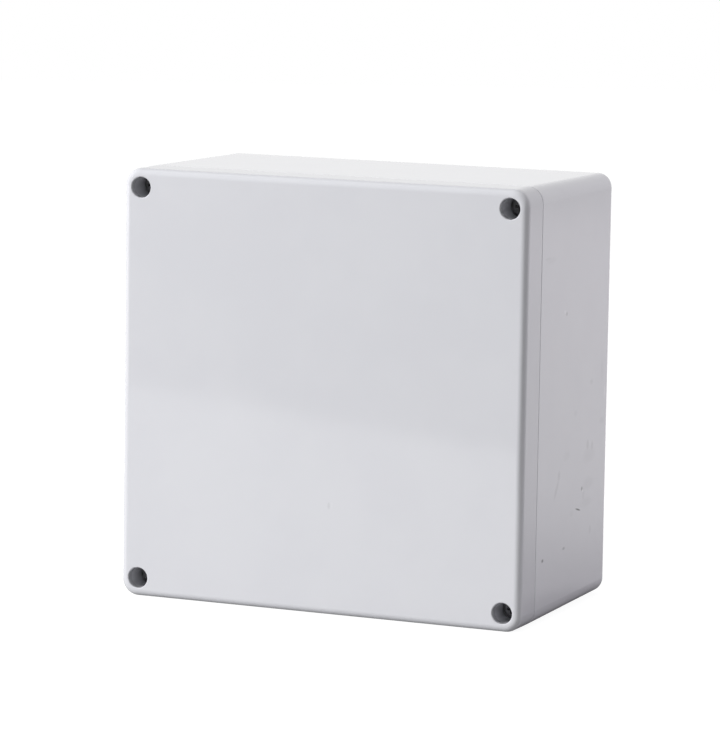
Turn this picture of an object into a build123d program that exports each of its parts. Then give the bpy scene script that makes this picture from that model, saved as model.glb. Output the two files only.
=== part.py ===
from build123d import *
import os
from math import radians, tan

os.makedirs("parts", exist_ok=True)

# Moulded wall enclosure, in millimetres. It stands on its lower side as on a wall: the lid
# looks towards -Y, the back towards +Y, and the origin is the middle of the lower side.

# Outer form
width = 160.0
height = 160.0
depth = 90.0
lid_depth = 14.5
corner_radius = 6.2
base_draft = 0.7
lid_draft = 0.3
front_round = 2.6
back_round = 3.7
joint_chamfer = 0.3

# Walls
wall = 3.0
lid_wall = 3.0
cavity_corner_radius = 2.5
post_floor = 3.0

# Card guides: pairs of ribs on the left and right walls
guide_reach = 2.2
guide_rib = 1.5
guide_slot = 1.9
guide_pitch = 18.0
guide_pairs = 5
guide_below_rim = 8.0
guide_root = 0.5

# Corner pads of the base: a post for the lid screw beside a channel for the wall screw
screw_inset = 7.0
channel_step = 13.0
channel_radius = 4.2
pad_wall = 2.6
pad_round = 6.0
wall_hole_radius = 2.3
wall_hole_length = 4.0
post_core_radius = 2.3

# Joint between lid and base
tongue_thickness = 1.4
tongue_height = 3.2
seal_clearance = 0.3
groove_depth = 5.4
groove_rib = 1.6
gasket_side_gap = 0.1

# Screw wells of the lid
well_radius = 3.85
well_depth = 12.25
well_mouth_bevel = 0.3
web_hole_radius = 2.3

# Captive lid screws and their snap rings
head_radius = 3.45
head_height = 2.5
head_bevel = 0.8
thread_radius = 2.0
screw_length = 20.0
tip_chamfer = 0.7
cross_width = 4.2
cross_slot = 1.1
cross_depth = 1.7
ring_groove_radius = 1.5
ring_fit = 0.05
ring_radius = 3.0
ring_thickness = 1.0
ring_opening = 2.2
ring_side_play = 0.1
ring_bore_clearance = 0.3
ring_stop_gap = 0.3
thread_release = 0.05

# Brass inserts
insert_radius = 2.8
thread_fit = 0.05
insert_gap = 0.02
lid_insert_length = 8.5
lid_insert_tip_room = 1.0
plate_insert_length = 6.0

# Mounting plate and what holds it
plate_thickness = 1.5
plate_gap = 1.2
plate_hole_radius = 2.4
boss_radius = 4.5
boss_height = 8.0
boss_side_gap = 14.2
boss_end_gap = 15.0
gusset_reach = 3.5
gusset_thickness = 1.2
gusset_height = 5.5
washer_radius = 4.5
washer_thickness = 0.8
plate_screw_head_radius = 4.0
plate_screw_head_height = 2.4
plate_screw_head_bevel = 0.7
plate_screw_length = 7.0

# Earthing bolt through the plate
earth_x = 0.0
earth_z = 20.0
earth_radius = 2.5
earth_length = 18.0
earth_hole_radius = 2.7
earth_across_flats = 8.0
earth_head_height = 3.4
earth_nut_height = 4.0
earth_washer_radius = 5.0
earth_washer_thickness = 1.0
lock_washer_thickness = 0.7
lock_washer_radius = 4.8
lock_washer_teeth = 10
lock_tooth_depth = 0.8
lock_tooth_width = 1.3

# Places worked out from the sizes above; depths are counted from the front face
screw_x = width / 2 - screw_inset
screw_z = height / 2 - screw_inset
channel_z = screw_z - channel_step
pad_x = screw_x - channel_radius - pad_wall
pad_z = channel_z - channel_radius - pad_wall
cavity_depth = depth - lid_depth - wall
cavity_floor = depth - wall
head_top = well_depth - head_height
screw_tip = well_depth + screw_length
ring_allowance = thread_release + ring_stop_gap + ring_thickness + ring_side_play + ring_stop_gap
thread_grip = (screw_tip - lid_depth - ring_allowance) / 2
screw_travel = thread_grip + thread_release
ring_top = lid_depth + screw_travel + ring_stop_gap
ring_bore_bottom = screw_tip - thread_grip
lid_insert_bottom = ring_bore_bottom + lid_insert_length
boss_spacing_x = 2 * (pad_x - boss_side_gap)
boss_spacing_z = height - 2 * (wall + boss_end_gap)
boss_top = cavity_floor - boss_height
plate_front = boss_top - plate_thickness
plate_shrink = (boss_top - lid_depth) * tan(radians(base_draft))
wall_at_floor = width / 2 - wall - cavity_depth * tan(radians(base_draft))
guide_x = (wall_at_floor - guide_reach + width / 2 - wall + guide_root) / 2
guide_width = 2 * (guide_x - wall_at_floor + guide_reach)
corners = {
    "upper_left": (-1, 1),
    "upper_right": (1, 1),
    "lower_left": (-1, -1),
    "lower_right": (1, -1),
}


def level(from_front):
    """Sketch plane at a depth behind the front face, facing the viewer, centred on the box."""
    return Plane(origin=(0, from_front - depth / 2, height / 2), x_dir=(1, 0, 0), z_dir=(0, -1, 0))


def half_section(x, z):
    """Plane through an axis that runs front to back: its x is a radius, its y a depth."""
    return Plane(origin=(x, -depth / 2, height / 2 + z), x_dir=(1, 0, 0), z_dir=(0, 0, 1))


def depth_axis(x, z):
    """The axis that a half section turns about."""
    return Axis(origin=(x, -depth / 2, height / 2 + z), direction=(0, 1, 0))


def upright_faces(faces):
    """The faces that run front to back, such as walls and their rounded corners."""
    return faces.filter_by(lambda face: abs(face.normal_at(face.center()).Y) < 0.01)


def save(builder, name):
    """Label a finished piece and write it to its own file."""
    builder.part.label = name
    export_step(builder.part, f"parts/{name}.step")


class SealOutline(BaseSketchObject):
    """Outline of the sealed space: a square that steps round the four corner pads."""

    def __init__(self, grow=0.0, mode=Mode.ADD):
        with BuildSketch(Plane.XY, mode=Mode.PRIVATE) as outline:
            Rectangle(2 * pad_x, height - 2 * wall)
            Rectangle(width - 2 * wall, 2 * pad_z)
            pad_corners = outline.vertices().filter_by(
                lambda v: abs(abs(v.X) - pad_x) < 0.01 and abs(abs(v.Y) - pad_z) < 0.01
            )
            fillet(pad_corners, pad_round)
            outer_corners = outline.vertices().filter_by(
                lambda v: (abs(abs(v.X) - pad_x) < 0.01 and abs(abs(v.Y) - height / 2 + wall) < 0.01)
                or (abs(abs(v.X) - width / 2 + wall) < 0.01 and abs(abs(v.Y) - pad_z) < 0.01)
            )
            fillet(outer_corners, cavity_corner_radius)
            if grow != 0:
                offset(amount=grow)
        super().__init__(obj=outline.sketch, mode=mode)


# Base: drafted tray, cavity round the corner pads, tongue on the rim
with BuildPart() as base:
    with BuildSketch(level(lid_depth)):
        RectangleRounded(width, height, corner_radius)
    extrude(amount=lid_depth - depth)
    draft(upright_faces(base.faces()), level(lid_depth + joint_chamfer), -base_draft)
    chamfer(base.faces().sort_by(Axis.Y)[0].edges(), joint_chamfer)
    fillet(base.faces().sort_by(Axis.Y)[-1].edges(), back_round)
    with BuildSketch(level(lid_depth)):
        SealOutline()
    extrude(amount=-cavity_depth, mode=Mode.SUBTRACT)
    draft(upright_faces(base.faces(Select.LAST)), level(lid_depth), base_draft)
    with BuildSketch(level(lid_depth)):
        SealOutline(grow=tongue_thickness)
        SealOutline(mode=Mode.SUBTRACT)
    extrude(amount=tongue_height)
    # Lid screw posts: guide bore for the snap ring, pocket for the insert
    with Locations(level(lid_depth)):
        with GridLocations(2 * screw_x, 2 * screw_z, 2, 2):
            CounterBoreHole(
                radius=insert_radius + insert_gap,
                counter_bore_radius=ring_radius + ring_bore_clearance,
                counter_bore_depth=ring_bore_bottom - lid_depth,
                depth=lid_insert_bottom + lid_insert_tip_room - lid_depth,
            )
    # The posts are cored from behind, so that the walls stay even
    with BuildSketch(level(depth)):
        with GridLocations(2 * screw_x, 2 * screw_z, 2, 2):
            Circle(post_core_radius)
    extrude(
        amount=depth - lid_insert_bottom - lid_insert_tip_room - post_floor,
        mode=Mode.SUBTRACT,
    )
    # Wall screw channels, outside the seal
    with Locations(level(lid_depth)):
        with GridLocations(2 * screw_x, 2 * channel_z, 2, 2):
            CounterBoreHole(
                radius=wall_hole_radius,
                counter_bore_radius=channel_radius,
                counter_bore_depth=depth - lid_depth - wall_hole_length,
                depth=depth - lid_depth,
            )
    # Card guides on the left and right walls
    with BuildSketch(level(cavity_floor)):
        with GridLocations(2 * guide_x, guide_pitch, 2, guide_pairs):
            with Locations((0, (guide_rib + guide_slot) / 2), (0, -(guide_rib + guide_slot) / 2)):
                Rectangle(guide_width, guide_rib)
    extrude(amount=cavity_depth - guide_below_rim)
    # Floor bosses with gussets for the mounting plate
    with BuildSketch(level(cavity_floor)):
        with GridLocations(boss_spacing_x, boss_spacing_z, 2, 2):
            Circle(boss_radius)
    extrude(amount=boss_height)
    with BuildSketch(level(cavity_floor)):
        with GridLocations(boss_spacing_x, boss_spacing_z, 2, 2):
            Rectangle(2 * (boss_radius + gusset_reach), gusset_thickness)
            Rectangle(gusset_thickness, 2 * (boss_radius + gusset_reach))
    extrude(amount=gusset_height)
    with BuildSketch(level(boss_top)):
        with GridLocations(boss_spacing_x, boss_spacing_z, 2, 2):
            Circle(insert_radius + insert_gap)
    extrude(amount=-plate_screw_length, mode=Mode.SUBTRACT)
save(base, "base")

# Lid: drafted the other way, rounded front edge, groove for the seal, four screw wells
with BuildPart() as lid:
    with BuildSketch(level(lid_depth)):
        RectangleRounded(width, height, corner_radius)
    extrude(amount=lid_depth)
    draft(upright_faces(lid.faces()), level(lid_depth - joint_chamfer), lid_draft)
    chamfer(lid.faces().sort_by(Axis.Y)[-1].edges(), joint_chamfer)
    fillet(lid.faces().sort_by(Axis.Y)[0].edges(), front_round)
    with BuildSketch(level(lid_depth)):
        SealOutline(grow=-(seal_clearance + groove_rib))
    extrude(amount=lid_depth - lid_wall, mode=Mode.SUBTRACT)
    with BuildSketch(level(lid_depth)):
        SealOutline(grow=tongue_thickness + seal_clearance)
        SealOutline(grow=-seal_clearance, mode=Mode.SUBTRACT)
    extrude(amount=groove_depth, mode=Mode.SUBTRACT)
    # Screw wells with a web for the head at the bottom
    with Locations(level(0)):
        with GridLocations(2 * screw_x, 2 * screw_z, 2, 2):
            CounterBoreHole(
                radius=web_hole_radius,
                counter_bore_radius=well_radius,
                counter_bore_depth=well_depth,
                depth=lid_depth,
            )
    front_edges = lid.faces().sort_by(Axis.Y)[0].edges()
    well_mouths = front_edges.filter_by(GeomType.CIRCLE).filter_by(
        lambda edge: abs(edge.radius - well_radius) < 0.01
    )
    chamfer(well_mouths, well_mouth_bevel)
    # Core pockets over the wall screw channels
    with BuildSketch(level(lid_depth)):
        with GridLocations(2 * screw_x, 2 * channel_z, 2, 2):
            Circle(channel_radius)
    extrude(amount=lid_depth - lid_wall, mode=Mode.SUBTRACT)
save(lid, "lid")

# Gasket: a closed ring at the bottom of the lid's groove, resting on the tongue
with BuildPart() as gasket:
    with BuildSketch(level(lid_depth - tongue_height)):
        SealOutline(grow=tongue_thickness + seal_clearance - gasket_side_gap)
        SealOutline(grow=gasket_side_gap - seal_clearance, mode=Mode.SUBTRACT)
    extrude(amount=groove_depth - tongue_height)
save(gasket, "gasket")


def lid_screw(name, x, z):
    """Captive screw: pan head with a cross recess, shank with a groove for the snap ring."""
    groove_front = ring_top - ring_side_play
    groove_back = ring_top + ring_thickness + ring_side_play
    with BuildPart() as screw:
        with BuildSketch(half_section(x, z)):
            with BuildLine():
                Polyline(
                    (0, head_top),
                    (head_radius - head_bevel, head_top),
                    (head_radius, head_top + head_bevel),
                    (head_radius, well_depth),
                    (thread_radius, well_depth),
                    (thread_radius, groove_front),
                    (ring_groove_radius, groove_front),
                    (ring_groove_radius, groove_back),
                    (thread_radius, groove_back),
                    (thread_radius, screw_tip - tip_chamfer),
                    (thread_radius - tip_chamfer, screw_tip),
                    (0, screw_tip),
                    close=True,
                )
            make_face()
        revolve(axis=depth_axis(x, z))
        with BuildSketch(level(head_top)):
            with Locations((x, z)):
                Rectangle(cross_width, cross_slot)
                Rectangle(cross_slot, cross_width)
        extrude(amount=-cross_depth, mode=Mode.SUBTRACT)
    save(screw, name)


def screw_ring(name, x, z):
    """Open snap ring that sits in the groove of a lid screw and keeps it in the lid."""
    with BuildPart() as ring:
        with BuildSketch(level(ring_top)):
            with Locations((x, z)):
                Circle(ring_radius)
                Circle(ring_groove_radius + ring_fit, mode=Mode.SUBTRACT)
            with Locations((x, z - ring_radius)):
                Rectangle(ring_opening, 2 * ring_radius, mode=Mode.SUBTRACT)
        extrude(amount=-ring_thickness)
    save(ring, name)


for corner, (side, row) in corners.items():
    lid_screw(f"lid_screw_{corner}", side * screw_x, row * screw_z)
    screw_ring(f"screw_ring_{corner}", side * screw_x, row * screw_z)


def inserts(name, top, length, spacing_x, spacing_z):
    """Four threaded brass inserts at the corners of a grid."""
    with BuildPart() as group:
        with BuildSketch(level(top)):
            with GridLocations(spacing_x, spacing_z, 2, 2):
                Circle(insert_radius)
                Circle(thread_radius + thread_fit, mode=Mode.SUBTRACT)
        extrude(amount=-length)
    save(group, name)


inserts("lid_screw_inserts", ring_bore_bottom, lid_insert_length, 2 * screw_x, 2 * screw_z)
inserts("plate_screw_inserts", boss_top, plate_insert_length, boss_spacing_x, boss_spacing_z)

# Mounting plate: sheet steel that follows the cavity, with four fixing holes and an earth hole
with BuildPart() as mounting_plate:
    with BuildSketch(level(boss_top)):
        SealOutline(grow=-(guide_reach + plate_gap + plate_shrink))
        with GridLocations(boss_spacing_x, boss_spacing_z, 2, 2):
            Circle(plate_hole_radius, mode=Mode.SUBTRACT)
        with Locations((earth_x, earth_z - height / 2)):
            Circle(earth_hole_radius, mode=Mode.SUBTRACT)
    extrude(amount=plate_thickness)
save(mounting_plate, "mounting_plate")

with BuildPart() as plate_washers:
    with BuildSketch(level(plate_front)):
        with GridLocations(boss_spacing_x, boss_spacing_z, 2, 2):
            Circle(washer_radius)
            Circle(plate_hole_radius, mode=Mode.SUBTRACT)
    extrude(amount=washer_thickness)
save(plate_washers, "plate_washers")

head_seat = plate_front - washer_thickness
with BuildPart() as plate_screws:
    with BuildSketch(level(head_seat)):
        with GridLocations(boss_spacing_x, boss_spacing_z, 2, 2):
            Circle(plate_screw_head_radius)
    extrude(amount=plate_screw_head_height)
    chamfer(plate_screws.edges().group_by(Axis.Y)[0], plate_screw_head_bevel)
    with BuildSketch(level(head_seat)):
        with GridLocations(boss_spacing_x, boss_spacing_z, 2, 2):
            Circle(thread_radius)
    extrude(amount=-plate_screw_length)
    with BuildSketch(level(head_seat - plate_screw_head_height)):
        with GridLocations(boss_spacing_x, boss_spacing_z, 2, 2):
            Rectangle(cross_width, cross_slot)
            Rectangle(cross_slot, cross_width)
    extrude(amount=-cross_depth, mode=Mode.SUBTRACT)
save(plate_screws, "plate_screws")

# Earth bolt: its head is behind the plate, and washers and two nuts are in front of it
stack_lock = plate_front
stack_washer = stack_lock - lock_washer_thickness
stack_nut = stack_washer - earth_washer_thickness
stack_second_washer = stack_nut - earth_nut_height
stack_second_nut = stack_second_washer - earth_washer_thickness
earth_place = (earth_x, earth_z - height / 2)
hexagon_radius = earth_across_flats / 2

with BuildPart() as earth_bolt:
    with BuildSketch(level(boss_top)):
        with Locations(earth_place):
            RegularPolygon(hexagon_radius, 6, major_radius=False)
    extrude(amount=-earth_head_height)
    with BuildSketch(level(boss_top)):
        with Locations(earth_place):
            Circle(earth_radius)
    extrude(amount=earth_length)
    chamfer(earth_bolt.faces().sort_by(Axis.Y)[0].edges(), tip_chamfer)
save(earth_bolt, "earth_bolt")

with BuildPart() as earth_nuts:
    for nut_back in (stack_nut, stack_second_nut):
        with BuildSketch(level(nut_back)):
            with Locations(earth_place):
                RegularPolygon(hexagon_radius, 6, major_radius=False)
                Circle(earth_radius + thread_fit, mode=Mode.SUBTRACT)
        extrude(amount=earth_nut_height)
save(earth_nuts, "earth_nuts")

with BuildPart() as earth_washers:
    for washer_back in (stack_washer, stack_second_washer):
        with BuildSketch(level(washer_back)):
            with Locations(earth_place):
                Circle(earth_washer_radius)
                Circle(earth_hole_radius, mode=Mode.SUBTRACT)
        extrude(amount=earth_washer_thickness)
save(earth_washers, "earth_washers")

with BuildPart() as earth_lock_washer:
    with BuildSketch(level(stack_lock)):
        with Locations(earth_place):
            Circle(lock_washer_radius)
            Circle(earth_hole_radius, mode=Mode.SUBTRACT)
            with PolarLocations(lock_washer_radius, lock_washer_teeth):
                Rectangle(2 * lock_tooth_depth, lock_tooth_width, mode=Mode.SUBTRACT)
    extrude(amount=lock_washer_thickness)
save(earth_lock_washer, "earth_lock_washer")
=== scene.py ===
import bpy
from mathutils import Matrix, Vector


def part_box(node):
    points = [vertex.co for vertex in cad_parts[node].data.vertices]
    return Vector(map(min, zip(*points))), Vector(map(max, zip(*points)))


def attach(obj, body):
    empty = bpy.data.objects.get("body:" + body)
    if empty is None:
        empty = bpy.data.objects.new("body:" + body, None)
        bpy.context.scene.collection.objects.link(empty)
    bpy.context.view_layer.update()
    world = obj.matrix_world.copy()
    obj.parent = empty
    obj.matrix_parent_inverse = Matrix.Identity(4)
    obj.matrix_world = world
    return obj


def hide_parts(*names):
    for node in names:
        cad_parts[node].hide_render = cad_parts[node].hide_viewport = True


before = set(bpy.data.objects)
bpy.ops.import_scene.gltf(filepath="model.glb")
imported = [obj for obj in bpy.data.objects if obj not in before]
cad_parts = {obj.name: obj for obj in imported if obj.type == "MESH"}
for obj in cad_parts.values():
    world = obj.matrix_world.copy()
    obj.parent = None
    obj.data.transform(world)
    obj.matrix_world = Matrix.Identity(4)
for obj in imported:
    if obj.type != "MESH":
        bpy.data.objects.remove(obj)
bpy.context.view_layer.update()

from math import atan2, ceil, cos, radians, sin, sqrt, tau

import bpy
from mathutils import Matrix, Vector

# Everything is in metres. The box stands on z = 0 with its lid towards -Y.
MM = 0.001
scene = bpy.context.scene

# Sizes that several pieces share
SAME_PLACE = 0.002 * MM
M4_RADIUS = 2.0 * MM
M4_ROOT = 1.62 * MM
M4_PITCH = 0.7 * MM
M5_RADIUS = 2.5 * MM
M5_ROOT = 2.03 * MM
M5_PITCH = 0.8 * MM
RECESS_SLOT = 1.1 * MM
RECESS_DEPTH = 1.7 * MM
WELL_RADIUS = 3.85 * MM
INSERT_RADIUS = 2.8 * MM
PAN_HEAD_RADIUS = 4.0 * MM

# Places read from the frame
lid_low, lid_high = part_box("lid")
base_low, base_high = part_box("base")
front = lid_low.y
joint = lid_high.y
back = base_high.y
half_width = base_high.x
middle_z = (base_low.z + base_high.z) / 2
corners = {
    "upper_left": (-1, 1),
    "upper_right": (1, 1),
    "lower_left": (-1, -1),
    "lower_right": (1, -1),
}


def centre(node):
    """The middle of a node's box."""
    low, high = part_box(node)
    return (low + high) / 2


# Helpers for modelling

def deselect():
    """Leave edit mode and select nothing."""
    if bpy.context.object and bpy.context.object.mode == "EDIT":
        bpy.ops.object.mode_set(mode="OBJECT")
    bpy.ops.object.select_all(action="DESELECT")


def pick(piece):
    """Make one piece the only selected and active one."""
    deselect()
    piece.select_set(True)
    bpy.context.view_layer.objects.active = piece


def apply(piece, kind, **settings):
    """Add a modifier with these settings and apply it."""
    pick(piece)
    modifier = piece.modifiers.new(kind.title(), kind)
    for name, value in settings.items():
        setattr(modifier, name, value)
    bpy.ops.object.modifier_apply(modifier=modifier.name)


def smooth(piece, angle=32):
    """Shade round faces smooth and keep edges sharper than the angle in degrees."""
    pick(piece)
    bpy.ops.object.shade_smooth_by_angle(angle=radians(angle))


def one_corner(name, place):
    """A mesh of a single vertex, from which a line is drawn."""
    deselect()
    bpy.ops.mesh.primitive_plane_add(size=MM)
    piece = bpy.context.object
    piece.name = piece.data.name = name
    bpy.ops.object.mode_set(mode="EDIT")
    bpy.ops.mesh.merge(type="CENTER")
    bpy.ops.transform.translate(value=place)
    return piece


def turned(name, profile, x, z, steps=40, closed=False):
    """Turn a profile of (radius, y) points about the front-to-back line through x and z."""
    places = [Vector((x + radius, y, z)) for radius, y in profile]
    piece = one_corner(name, places[0])
    if closed:
        places.append(places[0])
    for start, end in zip(places, places[1:]):
        bpy.ops.mesh.extrude_region_move(TRANSFORM_OT_translate={"value": end - start})
    bpy.ops.mesh.select_all(action="SELECT")
    bpy.ops.mesh.spin(steps=steps, angle=tau, center=(x, 0, z), axis=(0, 1, 0))
    bpy.ops.mesh.select_all(action="SELECT")
    bpy.ops.mesh.remove_doubles(threshold=SAME_PLACE)
    bpy.ops.mesh.normals_make_consistent(inside=False)
    bpy.ops.object.mode_set(mode="OBJECT")
    return piece


def thread_rows(start, end, pitch, radius):
    """Evenly spaced profile points along a thread, eight a turn, before the tooth is cut."""
    count = ceil((end - start) / pitch * 8)
    return [(radius, start + (end - start) * row / count) for row in range(count + 1)]


def cut_thread(piece, x, z, start, end, crest, root, pitch):
    """Move the crest vertices between start and end onto a helical thread."""
    half_crest, flank = 0.0625, 0.3125  # shares of a turn: half the flat crest, and one sloping flank
    for vertex in piece.data.vertices:
        place = vertex.co
        side = Vector((place.x - x, 0, place.z - z))
        if abs(side.length - crest) > 0.01 * MM or not start < place.y < end:
            continue
        turn = (place.y / pitch - atan2(side.z, side.x) / tau) % 1
        depth = min(max((abs(turn - 0.5) - half_crest) / flank, 0), 1)
        fade = min(1, (place.y - start) / pitch, (end - place.y) / pitch)
        reach = crest + (root - crest) * depth * fade
        vertex.co = Vector((x, place.y, z)) + side.normalized() * reach


def bar_cross(x, z, top, width, taper):
    """A cutter for a cross recess: two crossed bars that narrow towards the bottom."""
    deselect()
    bars = []
    above = MM / 2  # the bars start this far in front of the head
    for size_x, size_z in ((width, RECESS_SLOT), (RECESS_SLOT, width)):
        bpy.ops.mesh.primitive_cube_add(size=1, location=(x, top + RECESS_DEPTH / 2 - above / 2, z))
        bar = bpy.context.object
        bar.scale = (size_x, RECESS_DEPTH + above, size_z)
        bpy.ops.object.transform_apply(location=True, scale=True)
        bars.append(bar)
        for vertex in bar.data.vertices:
            if vertex.co.y > top + RECESS_DEPTH / 2:
                vertex.co.x = x + (vertex.co.x - x) * taper
                vertex.co.z = z + (vertex.co.z - z) * taper
    apply(bars[0], "BOOLEAN", object=bars[1], operation="UNION", solver="EXACT")
    bpy.data.objects.remove(bars[1])
    return bars[0]


def cut(piece, cutter):
    """Cut one closed mesh out of another and drop the cutter."""
    apply(piece, "BOOLEAN", object=cutter, operation="DIFFERENCE", solver="EXACT")
    bpy.data.objects.remove(cutter)


def copied(piece, name, move):
    """A copy with its own mesh, moved in its vertices."""
    twin = piece.copy()
    twin.data = piece.data.copy()
    twin.name = twin.data.name = name
    scene.collection.objects.link(twin)
    twin.data.transform(Matrix.Translation(move))
    return twin


def joined(pieces, name):
    """Join several pieces into the first one."""
    deselect()
    for piece in pieces:
        piece.select_set(True)
    bpy.context.view_layer.objects.active = pieces[0]
    bpy.ops.object.join()
    pieces[0].name = pieces[0].data.name = name
    return pieces[0]


def four_joined(first, name, column_x, column_z):
    """The upper left piece joined with its copies at the other three corners."""
    others = [
        copied(first, f"{name}_{corner}", ((side + 1) * column_x, 0, (row - 1) * column_z))
        for corner, (side, row) in corners.items() if corner != "upper_left"
    ]
    return joined([first, *others], name)


def eased(node, name, width, segments=2):
    """A copy of a node's mesh with its sharp edges rounded."""
    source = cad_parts[node]
    piece = bpy.data.objects.new(name, source.data.copy())
    piece.data.name = name
    piece.data.materials.clear()
    scene.collection.objects.link(piece)
    pick(piece)
    bpy.ops.object.mode_set(mode="EDIT")
    bpy.ops.mesh.select_all(action="SELECT")
    bpy.ops.mesh.remove_doubles(threshold=SAME_PLACE)
    bpy.ops.mesh.dissolve_limited(angle_limit=radians(0.5))
    bpy.ops.object.mode_set(mode="OBJECT")
    bpy.ops.mesh.customdata_custom_splitnormals_clear()
    apply(piece, "BEVEL", width=width, segments=segments, limit_method="ANGLE",
          angle_limit=radians(35), harden_normals=False)
    smooth(piece)
    return piece


def settle(piece, node, body, material):
    """Put a finished piece in the place of a node, on its body, in its material."""
    piece.data.materials.clear()
    piece.data.materials.append(material)
    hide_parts(node)
    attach(piece, body)


# Shader arithmetic

class Shade:
    """A value, colour or place that varies over a surface: a socket that takes part in sums."""

    def __init__(self, tree, socket):
        self.tree = tree
        self.socket = socket

    def node(self, kind, settings, inputs, output=0):
        """Add a node with these settings, feed its inputs and return one of its outputs."""
        made = self.tree.nodes.new("ShaderNode" + kind)
        for name, setting in settings.items():
            setattr(made, name, setting)
        for name, value in inputs.items():
            if isinstance(value, Shade):
                self.tree.links.new(value.socket, made.inputs[name])
            else:
                made.inputs[name].default_value = value
        return Shade(self.tree, made.outputs[output]) if output is not None else None

    def sum(self, operation, *values):
        """A Math node over plain values."""
        return self.node("Math", {"operation": operation}, dict(enumerate(values)))

    def __add__(self, other):
        return self.sum("ADD", self, other)

    def __radd__(self, other):
        return self.sum("ADD", other, self)

    def __sub__(self, other):
        return self.sum("SUBTRACT", self, other)

    def __rsub__(self, other):
        return self.sum("SUBTRACT", other, self)

    def __mul__(self, other):
        return self.sum("MULTIPLY", self, other)

    def __rmul__(self, other):
        return self.sum("MULTIPLY", other, self)

    def __pow__(self, other):
        return self.sum("POWER", self, other)

    def __abs__(self):
        return self.sum("ABSOLUTE", self)

    def larger(self, other):
        """The larger of two values."""
        return self.sum("MAXIMUM", self, other)

    def ramp(self, low, high):
        """0 below low, 1 above high, and a smooth rise between; low may be the higher one."""
        return self.node("MapRange", {"interpolation_type": "SMOOTHSTEP"},
                         {"Value": self, "From Min": low, "From Max": high})

    def blend(self, colour_at_0, colour_at_1):
        """Mix two colours by this value."""
        inputs = {0: self, 6: colour_at_0, 7: colour_at_1}
        return self.node("Mix", {"data_type": "RGBA"}, inputs, output=2)

    def axis(self, index):
        """One coordinate of a place: 0 is x, 1 is y, 2 is z."""
        return self.node("SeparateXYZ", {}, {0: self}, output=index)

    def moved(self, location, rotation, size):
        """The place as seen from a shape at this location, turned and with this size."""
        inputs = {"Vector": self, "Location": location, "Rotation": rotation, "Scale": size}
        return self.node("Mapping", {"vector_type": "TEXTURE"}, inputs)

    def length(self):
        """Distance of a place from the origin."""
        return self.node("VectorMath", {"operation": "LENGTH"}, {0: self}, output="Value")

    def noise(self, grain_mm, detail=2.0):
        """Noise from 0 to 1 whose grains are about this many millimetres wide."""
        inputs = {"Vector": self, "Scale": 1 / (grain_mm * MM), "Detail": detail}
        return self.node("TexNoise", {}, inputs)

    def cells(self, cell_mm, output="Distance"):
        """Cells about this many millimetres wide."""
        inputs = {"Vector": self, "Scale": 1 / (cell_mm * MM)}
        return self.node("TexVoronoi", {}, inputs, output=output)


def rgb(red, green, blue):
    """A colour in linear light."""
    return (red, green, blue, 1.0)


def started(name):
    """A new material and the place on the object that its patterns read."""
    material = bpy.data.materials.new(name)
    material.use_nodes = True
    tree = material.node_tree
    tree.nodes.clear()
    return material, Shade(tree, tree.nodes.new("ShaderNodeTexCoord").outputs["Object"])


def finished(here, varied, height_mm=None, **fixed):
    """Feed a surface shader: what varies by socket name, what is fixed as a number, and a relief."""
    if height_mm is not None:
        varied["Normal"] = here.node("Bump", {}, {"Distance": MM, "Height": height_mm})
    inputs = {**varied, **{name.replace("_", " "): value for name, value in fixed.items()}}
    shader = here.node("BsdfPrincipled", {}, inputs)
    here.node("OutputMaterial", {}, {"Surface": shader}, output=None)


# Finishes of the mouldings

PLASTIC = rgb(0.664, 0.668, 0.704)
PLASTIC_PALE = rgb(0.676, 0.680, 0.714)
# painted shade: a darker tone for the lid's sides and the round edge that leads to them
PAINTED_FLANK_SHADE = rgb(0.617, 0.621, 0.655)
# painted shade: the plastic inside the screw wells is darkened to stand in for the shade that falls
# there
PAINTED_WELL_SHADE = rgb(0.575, 0.578, 0.605)
GRIME = rgb(0.085, 0.085, 0.088)
CHALK = rgb(0.900, 0.900, 0.920)
SKIN = (2.4 * MM, 2.8 * MM)  # between these depths the outer finish gives way to the inner one
screw_x = centre("lid_screw_upper_right").x


def dabs(here, marks):
    """Soft oval marks, each given as place and half sizes in mm, lean in degrees and strength."""
    total = None
    for place, size, lean, strength in marks:
        centre_m, size_m = ([number * MM for number in numbers] for numbers in (place, size))
        around = here.moved(centre_m, (radians(lean), 0, 0), size_m)
        dab = around.length().ramp(1.0, 0.3) * strength
        total = dab if total is None else total.larger(dab)
    return total


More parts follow.
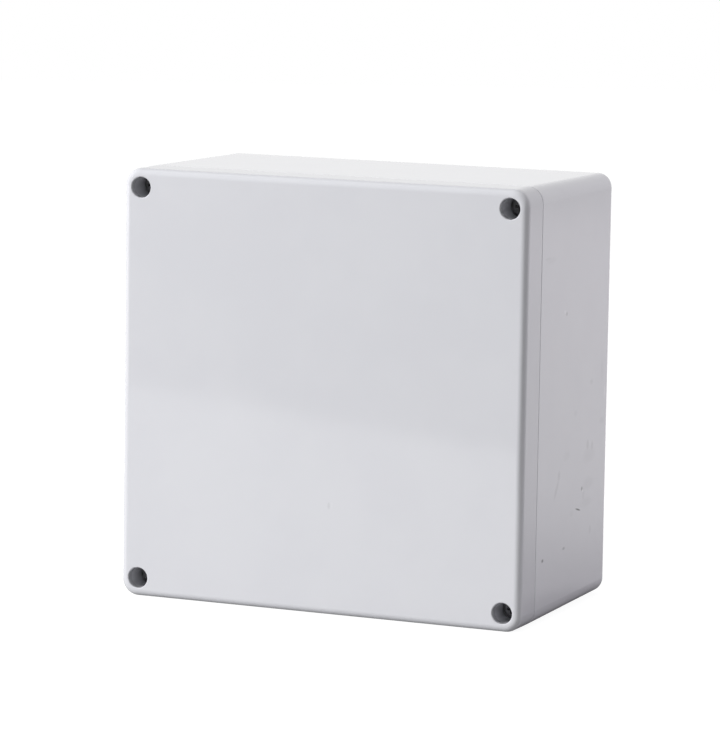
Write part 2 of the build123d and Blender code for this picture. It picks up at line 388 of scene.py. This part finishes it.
def moulded_plastic(name, inside, dark_marks, pale_marks, flank=None):
    """Glossy light grey moulding: slight warp, fine peel, a few marks outside, matt inside, painted
    shade in the screw wells and, where a flank mask is given, painted shade on the flanks.
    """
    material, here = started(name)
    x, y, z = (here.axis(index) for index in range(3))
    aside = abs(x)
    from_middle = abs(z - middle_z)
    inner = (half_width - aside.larger(from_middle)).ramp(*SKIN) * inside(y)
    outer = 1 - inner
    from_screw = ((aside - screw_x) ** 2 + (from_middle - screw_x) ** 2) ** 0.5
    in_well = from_screw.ramp(WELL_RADIUS + 0.3 * MM, WELL_RADIUS + 0.1 * MM)
    in_well = in_well * y.ramp(front, front + 0.4 * MM) * y.ramp(joint - 1.0 * MM, joint - 1.5 * MM)
    cloud = here.noise(28, detail=3)
    warp = here.noise(95, detail=1)
    peel = here.noise(3.6)
    grain = here.noise(0.35)
    worn = dabs(here, dark_marks)
    colour = cloud.ramp(0.35, 0.65).blend(PLASTIC, PLASTIC_PALE)
    # painted shade: the lid's sides and their round edge get a darker tone
    if flank:
        colour = (flank(y) * outer).blend(colour, PAINTED_FLANK_SHADE)
    # painted shade: darken the walls of the screw wells
    colour = in_well.blend(colour, PAINTED_WELL_SHADE)
    colour = worn.blend(colour, GRIME)
    colour = dabs(here, pale_marks).blend(colour, CHALK)
    roughness = 0.055 * outer + 0.42 * inner + 0.02 * cloud + 0.3 * worn
    height = 0.12 * warp * outer + 0.003 * peel * outer + 0.008 * grain * inner - 0.02 * worn
    finished(here, {"Base Color": colour, "Roughness": roughness}, height, IOR=1.5)
    return material


def lid_inside(y):
    """1 behind the lid's front wall."""
    return y.ramp(front + SKIN[0], front + SKIN[1])


def lid_flank_painted_shade(y):
    """1 on the lid's sides and the round edge that leads to them, which a painted shade makes a little
    darker.
    """
    return y.ramp(front + 0.1 * MM, front + 1.5 * MM)


def base_inside(y):
    """1 in front of the base's back wall."""
    return y.ramp(back - SKIN[0], back - SKIN[1])


# Marks on the right side as (y, z, half size in y, half size in z, lean, strength), in mm and degrees
side_marks = [
    (13.0, 36.7, 3.5, 0.45, -14, 1.00),
    (-23.5, 23.3, 1.6, 0.90, 0, 0.65),
    (16.8, 44.0, 1.3, 1.10, 0, 0.50),
    (-1.4, 24.4, 2.0, 0.80, 0, 0.36),
    (-3.3, 111.4, 1.2, 1.10, 0, 0.24),
    (22.2, 59.6, 1.9, 2.80, 0, 0.13),
    (27.0, 58.6, 1.7, 2.60, 0, 0.12),
    (26.7, 27.1, 1.5, 2.40, 0, 0.10),
    (-8.0, 52.3, 1.9, 2.70, -9, 0.12),
    (-10.3, 47.6, 1.6, 6.00, -35, 0.12),
    (24.8, 83.0, 2.4, 1.30, 0, 0.08),
    (-24.0, 133.5, 4.0, 0.80, 0, 0.08),
    (18.6, 42.3, 1.8, 5.00, 0, 0.07),
    (24.0, 55.9, 9.0, 4.00, 0, 0.06),
    (23.5, 45.1, 8.0, 3.20, 0, 0.06),
    (21.8, 38.2, 9.0, 2.40, 0, 0.05),
    (6.3, 36.2, 2.6, 1.60, 0, 0.05),
    (8.2, 73.3, 2.2, 1.60, 0, 0.05),
    (37.0, 67.0, 3.6, 1.80, 0, 0.06),
    (36.1, 86.0, 2.2, 6.00, 0, 0.05),
    (-0.4, 58.5, 5.0, 2.40, 0, 0.04),
    (-20.5, 132.7, 7.0, 1.80, 0, 0.04),
]
side_pale_marks = [
    (17.9, 43.1, 1.0, 0.80, 0, 0.40),
    (39.6, 77.5, 1.0, 3.40, 0, 0.25),
    (-5.3, 112.3, 1.1, 0.90, 0, 0.30),
]


def on_right_side(marks):
    """Marks of the lists above, placed on the right side of the base."""
    side_x, reach_x = 79.5, 4.0
    return [((side_x, y, z), (reach_x, half_y, half_z), lean, strength)
            for y, z, half_y, half_z, lean, strength in marks]


front_marks = [((4.4, -45.0, 40.6), (0.75, 4.0, 1.80), 0, 0.10)]
front_pale_marks = [((5.6, -45.0, 40.9), (0.60, 4.0, 1.40), 0, 0.06)]

lid_plastic = moulded_plastic("lid_plastic", lid_inside, front_marks, front_pale_marks, lid_flank_painted_shade)
base_plastic = moulded_plastic("base_plastic", base_inside,
                               on_right_side(side_marks), on_right_side(side_pale_marks))


def dressed(node, material):
    """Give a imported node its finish."""
    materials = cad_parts[node].data.materials
    materials.clear()
    materials.append(material)


dressed("lid", lid_plastic)
dressed("base", base_plastic)


# Finishes of the fittings

def blackened_steel():
    """Dark screw steel."""
    material, here = started("blackened_steel")
    cloud = here.noise(1.2, detail=3)
    colour = cloud.ramp(0.3, 0.7).blend(rgb(0.22, 0.22, 0.225), rgb(0.30, 0.30, 0.305))
    relief = 0.004 * here.noise(0.25)
    finished(here, {"Base Color": colour, "Roughness": 0.38 + 0.2 * cloud}, relief, Metallic=0.5)
    return material


def zinc_plating():
    """Pale bluish zinc with a slight mottle and fine pits."""
    material, here = started("zinc_plating")
    cloud = here.noise(2.4, detail=3)
    pits = here.noise(0.3).ramp(0.62, 0.72)
    colour = cloud.ramp(0.3, 0.7).blend(rgb(0.56, 0.57, 0.58), rgb(0.68, 0.68, 0.66))
    colour = (pits * 0.25).blend(colour, rgb(0.30, 0.30, 0.30))
    relief = 0.006 * here.noise(0.5) - 0.006 * pits
    finished(here, {"Base Color": colour, "Roughness": 0.28 + 0.14 * cloud}, relief, Metallic=1.0)
    return material


def galvanised_sheet():
    """Sheet steel with the crystal pattern of hot zinc."""
    material, here = started("galvanised_sheet")
    crystals = here.cells(6.5, output="Color").axis(0)
    fine = here.noise(1.1, detail=4)
    tone = 0.75 * crystals + 0.25 * fine
    colour = tone.ramp(0.1, 0.9).blend(rgb(0.52, 0.53, 0.55), rgb(0.62, 0.63, 0.64))
    roughness = 0.32 + 0.08 * crystals + 0.06 * fine
    relief = 0.010 * crystals + 0.006 * here.noise(0.7)
    finished(here, {"Base Color": colour, "Roughness": roughness}, relief, Metallic=1.0)
    return material


def turned_brass(name, column_x, column_z):
    """Brass with fine rings round each insert's own axis."""
    material, here = started(name)
    x, z = here.axis(0), here.axis(2)
    from_axis = ((abs(x) - column_x) ** 2 + (abs(z - middle_z) - column_z) ** 2) ** 0.5
    ring_width = 0.12 * MM
    rings = here.sum("SINE", from_axis * (tau / ring_width))
    cloud = here.noise(2.0, detail=3)
    colour = cloud.ramp(0.3, 0.7).blend(rgb(0.62, 0.44, 0.16), rgb(0.76, 0.57, 0.26))
    finished(here, {"Base Color": colour, "Roughness": 0.24 + 0.16 * cloud}, 0.003 * rings, Metallic=1.0)
    return material


def natural_nylon():
    """Milky nylon."""
    material, here = started("natural_nylon")
    cloud = here.noise(1.5, detail=2)
    colour = cloud.blend(rgb(0.74, 0.73, 0.68), rgb(0.82, 0.81, 0.77))
    relief = 0.004 * here.noise(0.3)
    finished(here, {"Base Color": colour, "Roughness": 0.38 + 0.1 * cloud}, relief,
             Subsurface_Weight=0.3, Subsurface_Scale=0.6 * MM)
    return material


def foam_rubber():
    """Black closed-cell foam with a fine pore texture."""
    material, here = started("foam_rubber")
    pores = here.cells(0.32).ramp(0.45, 0.15)
    cloud = here.noise(4.0, detail=3)
    colour = cloud.blend(rgb(0.030, 0.030, 0.032), rgb(0.055, 0.055, 0.058))
    colour = (pores * 0.6).blend(colour, rgb(0.012, 0.012, 0.013))
    relief = 0.05 * here.noise(2.5) - 0.05 * pores
    finished(here, {"Base Color": colour, "Roughness": 0.82 + 0.1 * cloud}, relief, Sheen_Weight=0.15)
    return material


screw_steel = blackened_steel()
zinc = zinc_plating()
sheet_zinc = galvanised_sheet()
nylon = natural_nylon()
foam = foam_rubber()


# Lid screws: cheese head with rounded edge, cross recess, undercut shank and M4 thread

def lid_screw(name, x, z):
    """One captive screw, modelled from its head top to its tip."""
    low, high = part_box("lid_screw_upper_right")
    top, tip = low.y, high.y
    head = (high.x - low.x) / 2
    seat = top + 2.5 * MM
    neck = 1.5 * MM
    neck_start = top + 13.0 * MM
    neck_end = top + 14.2 * MM
    thread_end = tip - 0.7 * MM
    profile = [
        (0, top),
        (1.60 * MM, top),
        (2.30 * MM, top + 0.05 * MM),
        (2.80 * MM, top + 0.18 * MM),
        (3.15 * MM, top + 0.40 * MM),
        (3.36 * MM, top + 0.72 * MM),
        (head, top + 1.10 * MM),
        (head, seat - 0.12 * MM),
        (head - 0.12 * MM, seat),
        (2.25 * MM, seat),
        (2.06 * MM, seat + 0.06 * MM),
        (M4_RADIUS, seat + 0.25 * MM),
        (M4_RADIUS, neck_start - 0.25 * MM),
        (neck, neck_start + 0.05 * MM),
        (neck, neck_end - 0.05 * MM),
    ]
    profile += thread_rows(neck_end, thread_end, M4_PITCH, M4_RADIUS)
    profile += [(1.32 * MM, tip), (0, tip)]
    piece = turned(name, profile, x, z)
    cut_thread(piece, x, z, neck_end, thread_end, M4_RADIUS, M4_ROOT, M4_PITCH)
    cut(piece, bar_cross(x, z, top, width=4.2 * MM, taper=0.62))
    smooth(piece, 34)
    return piece


first_screw = lid_screw("captive_screw_upper_left", -screw_x, middle_z + screw_x)
for corner, (side, row) in corners.items():
    if corner == "upper_left":
        screw = first_screw
    else:
        move = ((side + 1) * screw_x, 0, (row - 1) * screw_x)
        screw = copied(first_screw, f"captive_screw_{corner}", move)
    settle(screw, f"lid_screw_{corner}", f"lid_screw_{corner}", screw_steel)


# Nylon snap rings that keep the screws in the lid

for corner in corners:
    ring = eased(f"screw_ring_{corner}", f"snap_ring_{corner}", 0.14 * MM)
    settle(ring, f"screw_ring_{corner}", f"screw_ring_{corner}", nylon)


# Brass inserts: knurled outside with a groove round the middle, threaded inside

def insert(name, x, z, start, end):
    """One knurled insert, with its thread cut outwards from its bore."""
    outside, bore = INSERT_RADIUS, 2.05 * MM
    groove = outside - 0.35 * MM
    mouth = bore + 0.30 * MM
    middle = (start + end) / 2
    thread_start, thread_end = start + 0.3 * MM, end - 0.3 * MM
    knurls = 48
    knurl_depth = 0.18 * MM
    profile = [
        (mouth, start),
        (outside - 0.20 * MM, start),
        (outside, start + 0.20 * MM),
        (outside, middle - 0.60 * MM),
        (groove, middle - 0.40 * MM),
        (groove, middle + 0.40 * MM),
        (outside, middle + 0.60 * MM),
        (outside, end - 0.20 * MM),
        (outside - 0.20 * MM, end),
        (mouth, end),
    ]
    rows = thread_rows(thread_start, thread_end, M4_PITCH, bore)
    profile += [(radius, end + start - y) for radius, y in rows]
    piece = turned(name, profile, x, z, steps=knurls, closed=True)
    cut_thread(piece, x, z, thread_start, thread_end, bore, bore + 0.28 * MM, M4_PITCH)
    for vertex in piece.data.vertices:
        side = Vector((vertex.co.x - x, 0, vertex.co.z - z))
        tooth = round(atan2(side.z, side.x) / tau * knurls) % 2
        if tooth and side.length > outside - 0.01 * MM:
            vertex.co -= side.normalized() * knurl_depth
    smooth(piece, 30)
    return piece


for node, slot_brass in (("lid_screw_inserts", "lid_brass"), ("plate_screw_inserts", "plate_brass")):
    low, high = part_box(node)
    column_x = high.x - INSERT_RADIUS
    column_z = high.z - INSERT_RADIUS - middle_z
    first_insert = insert(f"knurled_{node}", -column_x, middle_z + column_z, low.y, high.y)
    inserts = four_joined(first_insert, f"knurled_{node}", column_x, column_z)
    settle(inserts, node, "base", turned_brass(slot_brass, column_x, column_z))


# Mounting plate with its washers and pan head screws

plate = eased("mounting_plate", "equipment_plate", 0.22 * MM)
settle(plate, "mounting_plate", "base", sheet_zinc)
washers = eased("plate_washers", "pressed_washers", 0.12 * MM)
settle(washers, "plate_washers", "base", zinc)


def pan_screw(name, x, z):
    """One pan head screw with a cross recess and an M4 thread."""
    low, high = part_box("plate_screws")
    top, tip = low.y, high.y
    seat = top + 2.4 * MM
    thread_start, thread_end = seat + 0.4 * MM, tip - 0.6 * MM
    profile = [
        (0, top),
        (1.40 * MM, top + 0.03 * MM),
        (2.30 * MM, top + 0.16 * MM),
        (3.05 * MM, top + 0.45 * MM),
        (3.60 * MM, top + 0.90 * MM),
        (3.90 * MM, top + 1.45 * MM),
        (PAN_HEAD_RADIUS, top + 2.00 * MM),
        (3.98 * MM, seat - 0.08 * MM),
        (3.88 * MM, seat),
        (M4_RADIUS, seat),
    ]
    profile += thread_rows(thread_start, thread_end, M4_PITCH, M4_RADIUS)
    profile += [(1.40 * MM, tip), (0, tip)]
    piece = turned(name, profile, x, z)
    cut_thread(piece, x, z, thread_start, thread_end, M4_RADIUS, M4_ROOT, M4_PITCH)
    cut(piece, bar_cross(x, z, top, width=4.4 * MM, taper=0.6))
    smooth(piece, 34)
    return piece


low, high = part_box("plate_screws")
column_x = high.x - PAN_HEAD_RADIUS
column_z = high.z - PAN_HEAD_RADIUS - middle_z
first_pan = pan_screw("plate_pan_screws", -column_x, middle_z + column_z)
pan_screws = four_joined(first_pan, "plate_pan_screws", column_x, column_z)
settle(pan_screws, "plate_screws", "base", zinc)


# Earth connection: bolt, washers, toothed lock washer and two nuts

def hexagon(name, x, z, start, end, across, front_chamfer=True, back_chamfer=True):
    """A hexagon with the turned chamfers of a nut or bolt head.

    The six-sided bar is longer than the piece, so that its ends lie clear of the turned form's.
    """
    deselect()
    radius = across / sqrt(3)
    bpy.ops.mesh.primitive_cylinder_add(vertices=6, radius=radius, depth=end - start + MM,
                                        location=(x, (start + end) / 2, z),
                                        rotation=(radians(90), radians(30), 0))
    piece = bpy.context.object
    piece.name = piece.data.name = name
    bpy.ops.object.transform_apply(location=True, rotation=True)
    flat = 0.475 * across
    wide = radius + 0.2 * MM
    drop_wide = (wide - flat) * 0.577  # a chamfer of 30 degrees
    profile = [(0, start)]
    profile += [(flat, start), (wide, start + drop_wide)] if front_chamfer else [(wide, start)]
    profile += [(wide, end - drop_wide), (flat, end)] if back_chamfer else [(wide, end)]
    profile += [(0, end)]
    turned_form = turned("chamfer_form", profile, x, z, steps=64)
    apply(piece, "BOOLEAN", object=turned_form, operation="INTERSECT", solver="EXACT")
    bpy.data.objects.remove(turned_form)
    return piece


earth = centre("earth_bolt")
bolt_low, bolt_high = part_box("earth_bolt")
across_flats = bolt_high.z - bolt_low.z
plate_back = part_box("mounting_plate")[1].y
shaft_end = plate_back + 0.1 * MM  # a little inside the head
thread_start, thread_end = bolt_low.y + 0.7 * MM, plate_back - 1.6 * MM
shaft_profile = [(0, bolt_low.y), (1.85 * MM, bolt_low.y)]
shaft_profile += thread_rows(thread_start, thread_end, M5_PITCH, M5_RADIUS)
shaft_profile += [(M5_RADIUS, shaft_end), (0, shaft_end)]
bolt_shaft = turned("bolt_shaft", shaft_profile, earth.x, earth.z)
cut_thread(bolt_shaft, earth.x, earth.z, thread_start, thread_end, M5_RADIUS, M5_ROOT, M5_PITCH)
bolt_head = hexagon("earth_stud", earth.x, earth.z, plate_back, bolt_high.y, across_flats,
                    front_chamfer=False)
apply(bolt_head, "BOOLEAN", object=bolt_shaft, operation="UNION", solver="EXACT")
bpy.data.objects.remove(bolt_shaft)
smooth(bolt_head, 30)
settle(bolt_head, "earth_bolt", "base", zinc)


def nut(name, start, end):
    """One nut with a countersunk bore."""
    piece = hexagon(name, earth.x, earth.z, start, end, across_flats)
    bore = 2.56 * MM
    past = 0.2 * MM  # the cutter runs this far past both faces
    sink = 0.4 * MM
    bore_profile = [
        (0, start - past),
        (bore + sink + past, start - past),
        (bore, start + sink),
        (bore, end - sink),
        (bore + sink + past, end + past),
        (0, end + past),
    ]
    cut(piece, turned("bore_form", bore_profile, earth.x, earth.z))
    smooth(piece, 30)
    return piece


nut_low, nut_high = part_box("earth_nuts")
nut_height = 4 * MM
front_nut = nut("front_nut", nut_low.y, nut_low.y + nut_height)
back_nut = nut("back_nut", nut_high.y - nut_height, nut_high.y)
settle(joined([front_nut, back_nut], "earth_hex_nuts"), "earth_nuts", "base", zinc)
earth_washers = eased("earth_washers", "earth_flat_washers", 0.12 * MM)
settle(earth_washers, "earth_washers", "base", zinc)

lock_washer = eased("earth_lock_washer", "earth_tooth_washer", 0.05 * MM, segments=1)
lock_middle = centre("earth_lock_washer").y
LOCK_TEETH = 10
LOCK_BODY_RADIUS = 3.3 * MM
LOCK_TOOTH_LENGTH = 1.2 * MM
LOCK_TWIST = 0.30 * MM
LOCK_THINNING = 0.6
for vertex in lock_washer.data.vertices:
    side = Vector((vertex.co.x - earth.x, 0, vertex.co.z - earth.z))
    teeth_round = atan2(side.z, side.x) / tau * LOCK_TEETH
    across_tooth = (teeth_round - 0.5) % 1 - 0.5
    reach = min(max((side.length - LOCK_BODY_RADIUS) / LOCK_TOOTH_LENGTH, 0), 1)
    thin = (vertex.co.y - lock_middle) * LOCK_THINNING
    vertex.co.y = lock_middle + thin + LOCK_TWIST * across_tooth * reach
settle(lock_washer, "earth_lock_washer", "base", zinc)


# Foam gasket in the lid's groove

gasket = eased("gasket", "foam_gasket", 0.55 * MM, segments=4)
settle(gasket, "gasket", "lid", foam)


# Studio: a pale table, a grey wall behind the camera, soft lamps and a white surround

CAMERA_PLACE = (0.632212, -1.461261, 0.306476)
CAMERA_ANGLES = (82.0049, -0.8951, 23.6387)
LENS_MM = 206.951
TABLE_TURN = 23.4
TABLE_EDGE = 0.368  # from the middle of the box to the table's near edge
TABLE_WIDTH = 4.0
TABLE_DEPTH = 3.0
TABLE_TONE = 0.36  # for the light that bounces off it
AMBIENT = 0.36

# The table as glossy pieces mirror it, where a painted shadow darkens it round and behind the box;
# distances are from the middle of the box's foot
BRIGHT_AGAIN = (0.028, 0.212)  # towards the back, from where the shadow starts to fade to its end
ROUND_THE_FOOT = (0.088, 0.115)  # all round, from the darkest shade to the palest
DARKEST_SHADE = 0.25
PALEST_SHADE = 0.9


def panel(name, place, width, height, angles):
    """A flat part of the studio."""
    deselect()
    turn = [radians(angle) for angle in angles]
    bpy.ops.mesh.primitive_plane_add(size=1, location=place, rotation=turn)
    made = bpy.context.object
    made.name = name
    made.scale = (width, height, 1)
    return made


def seen_by(tree, *ray_kinds):
    """1 for rays of these kinds."""
    path = tree.nodes.new("ShaderNodeLightPath")
    seen = [Shade(tree, path.outputs[f"Is {kind} Ray"]) for kind in ray_kinds]
    for other in seen[1:]:
        seen[0] = seen[0].larger(other)
    return seen[0]


def table_finish():
    """Pale table that fades into the white surround and keeps the shadow of the box.

    Glossy pieces mirror it bright in front of the box and far behind it; round the foot and just behind
    the box they mirror a painted shadow, a darker tone in place of the box's shade.
    """
    material, here = started("table")

    def matt(tone):
        return here.node("BsdfDiffuse", {}, {"Color": rgb(tone, tone, tone)})

    def glowing(tone, glow):
        bright = here.node("Emission", {}, {"Color": rgb(1, 1, 1), "Strength": glow})
        return here.node("AddShader", {}, {0: matt(tone), 1: bright})

    def either(chance, first, second):
        return here.node("MixShader", {}, {0: chance, 1: first, 2: second})

    place = here.node("NewGeometry", {}, {}, output="Position")
    y = place.axis(1)
    ahead = y.ramp(front + 5 * MM, front - 5 * MM)
    far_behind = y.ramp(*BRIGHT_AGAIN)
    off_the_foot = place.length().ramp(*ROUND_THE_FOOT)
    # painted shadow: near the box's foot the table's tone drops from the palest to the darkest shade
    painted_shadow = either(off_the_foot, matt(DARKEST_SHADE), matt(PALEST_SHADE))
    mirrored = either(ahead.larger(far_behind), painted_shadow, glowing(0.6, 0.6))
    in_gloss = either(seen_by(here.tree, "Glossy", "Transmission"), matt(TABLE_TONE), mirrored)
    in_view = either(seen_by(here.tree, "Camera"), in_gloss, glowing(0.2, 0.92))
    here.node("OutputMaterial", {}, {"Surface": in_view}, output=None)
    return material


def wall_finish():
    """Dark grey wall."""
    material, here = started("studio_wall")
    finished(here, {"Base Color": rgb(0.45, 0.45, 0.45)}, Roughness=0.9)
    return material


towards_camera = Vector((sin(radians(TABLE_TURN)), -cos(radians(TABLE_TURN)), 0))
table_middle = towards_camera * (TABLE_EDGE - TABLE_DEPTH / 2)
table = panel("table", table_middle, TABLE_WIDTH, TABLE_DEPTH, (0, 0, TABLE_TURN))
table.data.materials.append(table_finish())
wall = panel("studio_wall", Vector((0, -3.5, 3.0)), width=12.0, height=11.0, angles=(90, 0, 0))
wall.visible_camera = False
wall.data.materials.append(wall_finish())

world = bpy.data.worlds.new("surround")
scene.world = world
world.use_nodes = True
world.node_tree.nodes.clear()
in_sight = seen_by(world.node_tree, "Camera", "Glossy", "Transmission")
level = in_sight.blend(rgb(AMBIENT, AMBIENT, AMBIENT), rgb(1, 1, 1))
surround = level.node("Background", {}, {"Color": level, "Strength": 1.0})
surround.node("OutputWorld", {}, {"Surface": surround}, output=None)


def softbox(name, place, width, height, watts, colour=(1, 1, 1)):
    """A rectangular area lamp aimed at the middle of the box, which glossy pieces don't mirror."""
    lamp = bpy.data.lights.new(name, "AREA")
    lamp.shape = "RECTANGLE"
    lamp.size = width
    lamp.size_y = height
    lamp.energy = watts
    lamp.color = colour
    made = bpy.data.objects.new(name, lamp)
    scene.collection.objects.link(made)
    made.visible_glossy = False
    made.location = place
    made.rotation_euler = (Vector((0, 0, middle_z)) - Vector(place)).to_track_quat("-Z", "Y").to_euler()


softbox("lamp_left", (-1.65, -1.65, 1.0), width=1.0, height=1.4, watts=74)
softbox("lamp_top", (0.3, -0.2, 1.9), width=1.0, height=1.0, watts=4)
softbox("lamp_right", (1.10, 0.90, 0.42), width=1.1, height=0.5, watts=7.0, colour=(0.98, 0.92, 1.0))

lens = bpy.data.cameras.new("camera")
lens.lens = LENS_MM
lens.sensor_width = 36
lens.clip_start = 0.05
lens.clip_end = 50
camera = bpy.data.objects.new("camera", lens)
scene.collection.objects.link(camera)
camera.location = CAMERA_PLACE
camera.rotation_euler = [radians(angle) for angle in CAMERA_ANGLES]
scene.camera = camera
scene.view_settings.view_transform = "Standard"
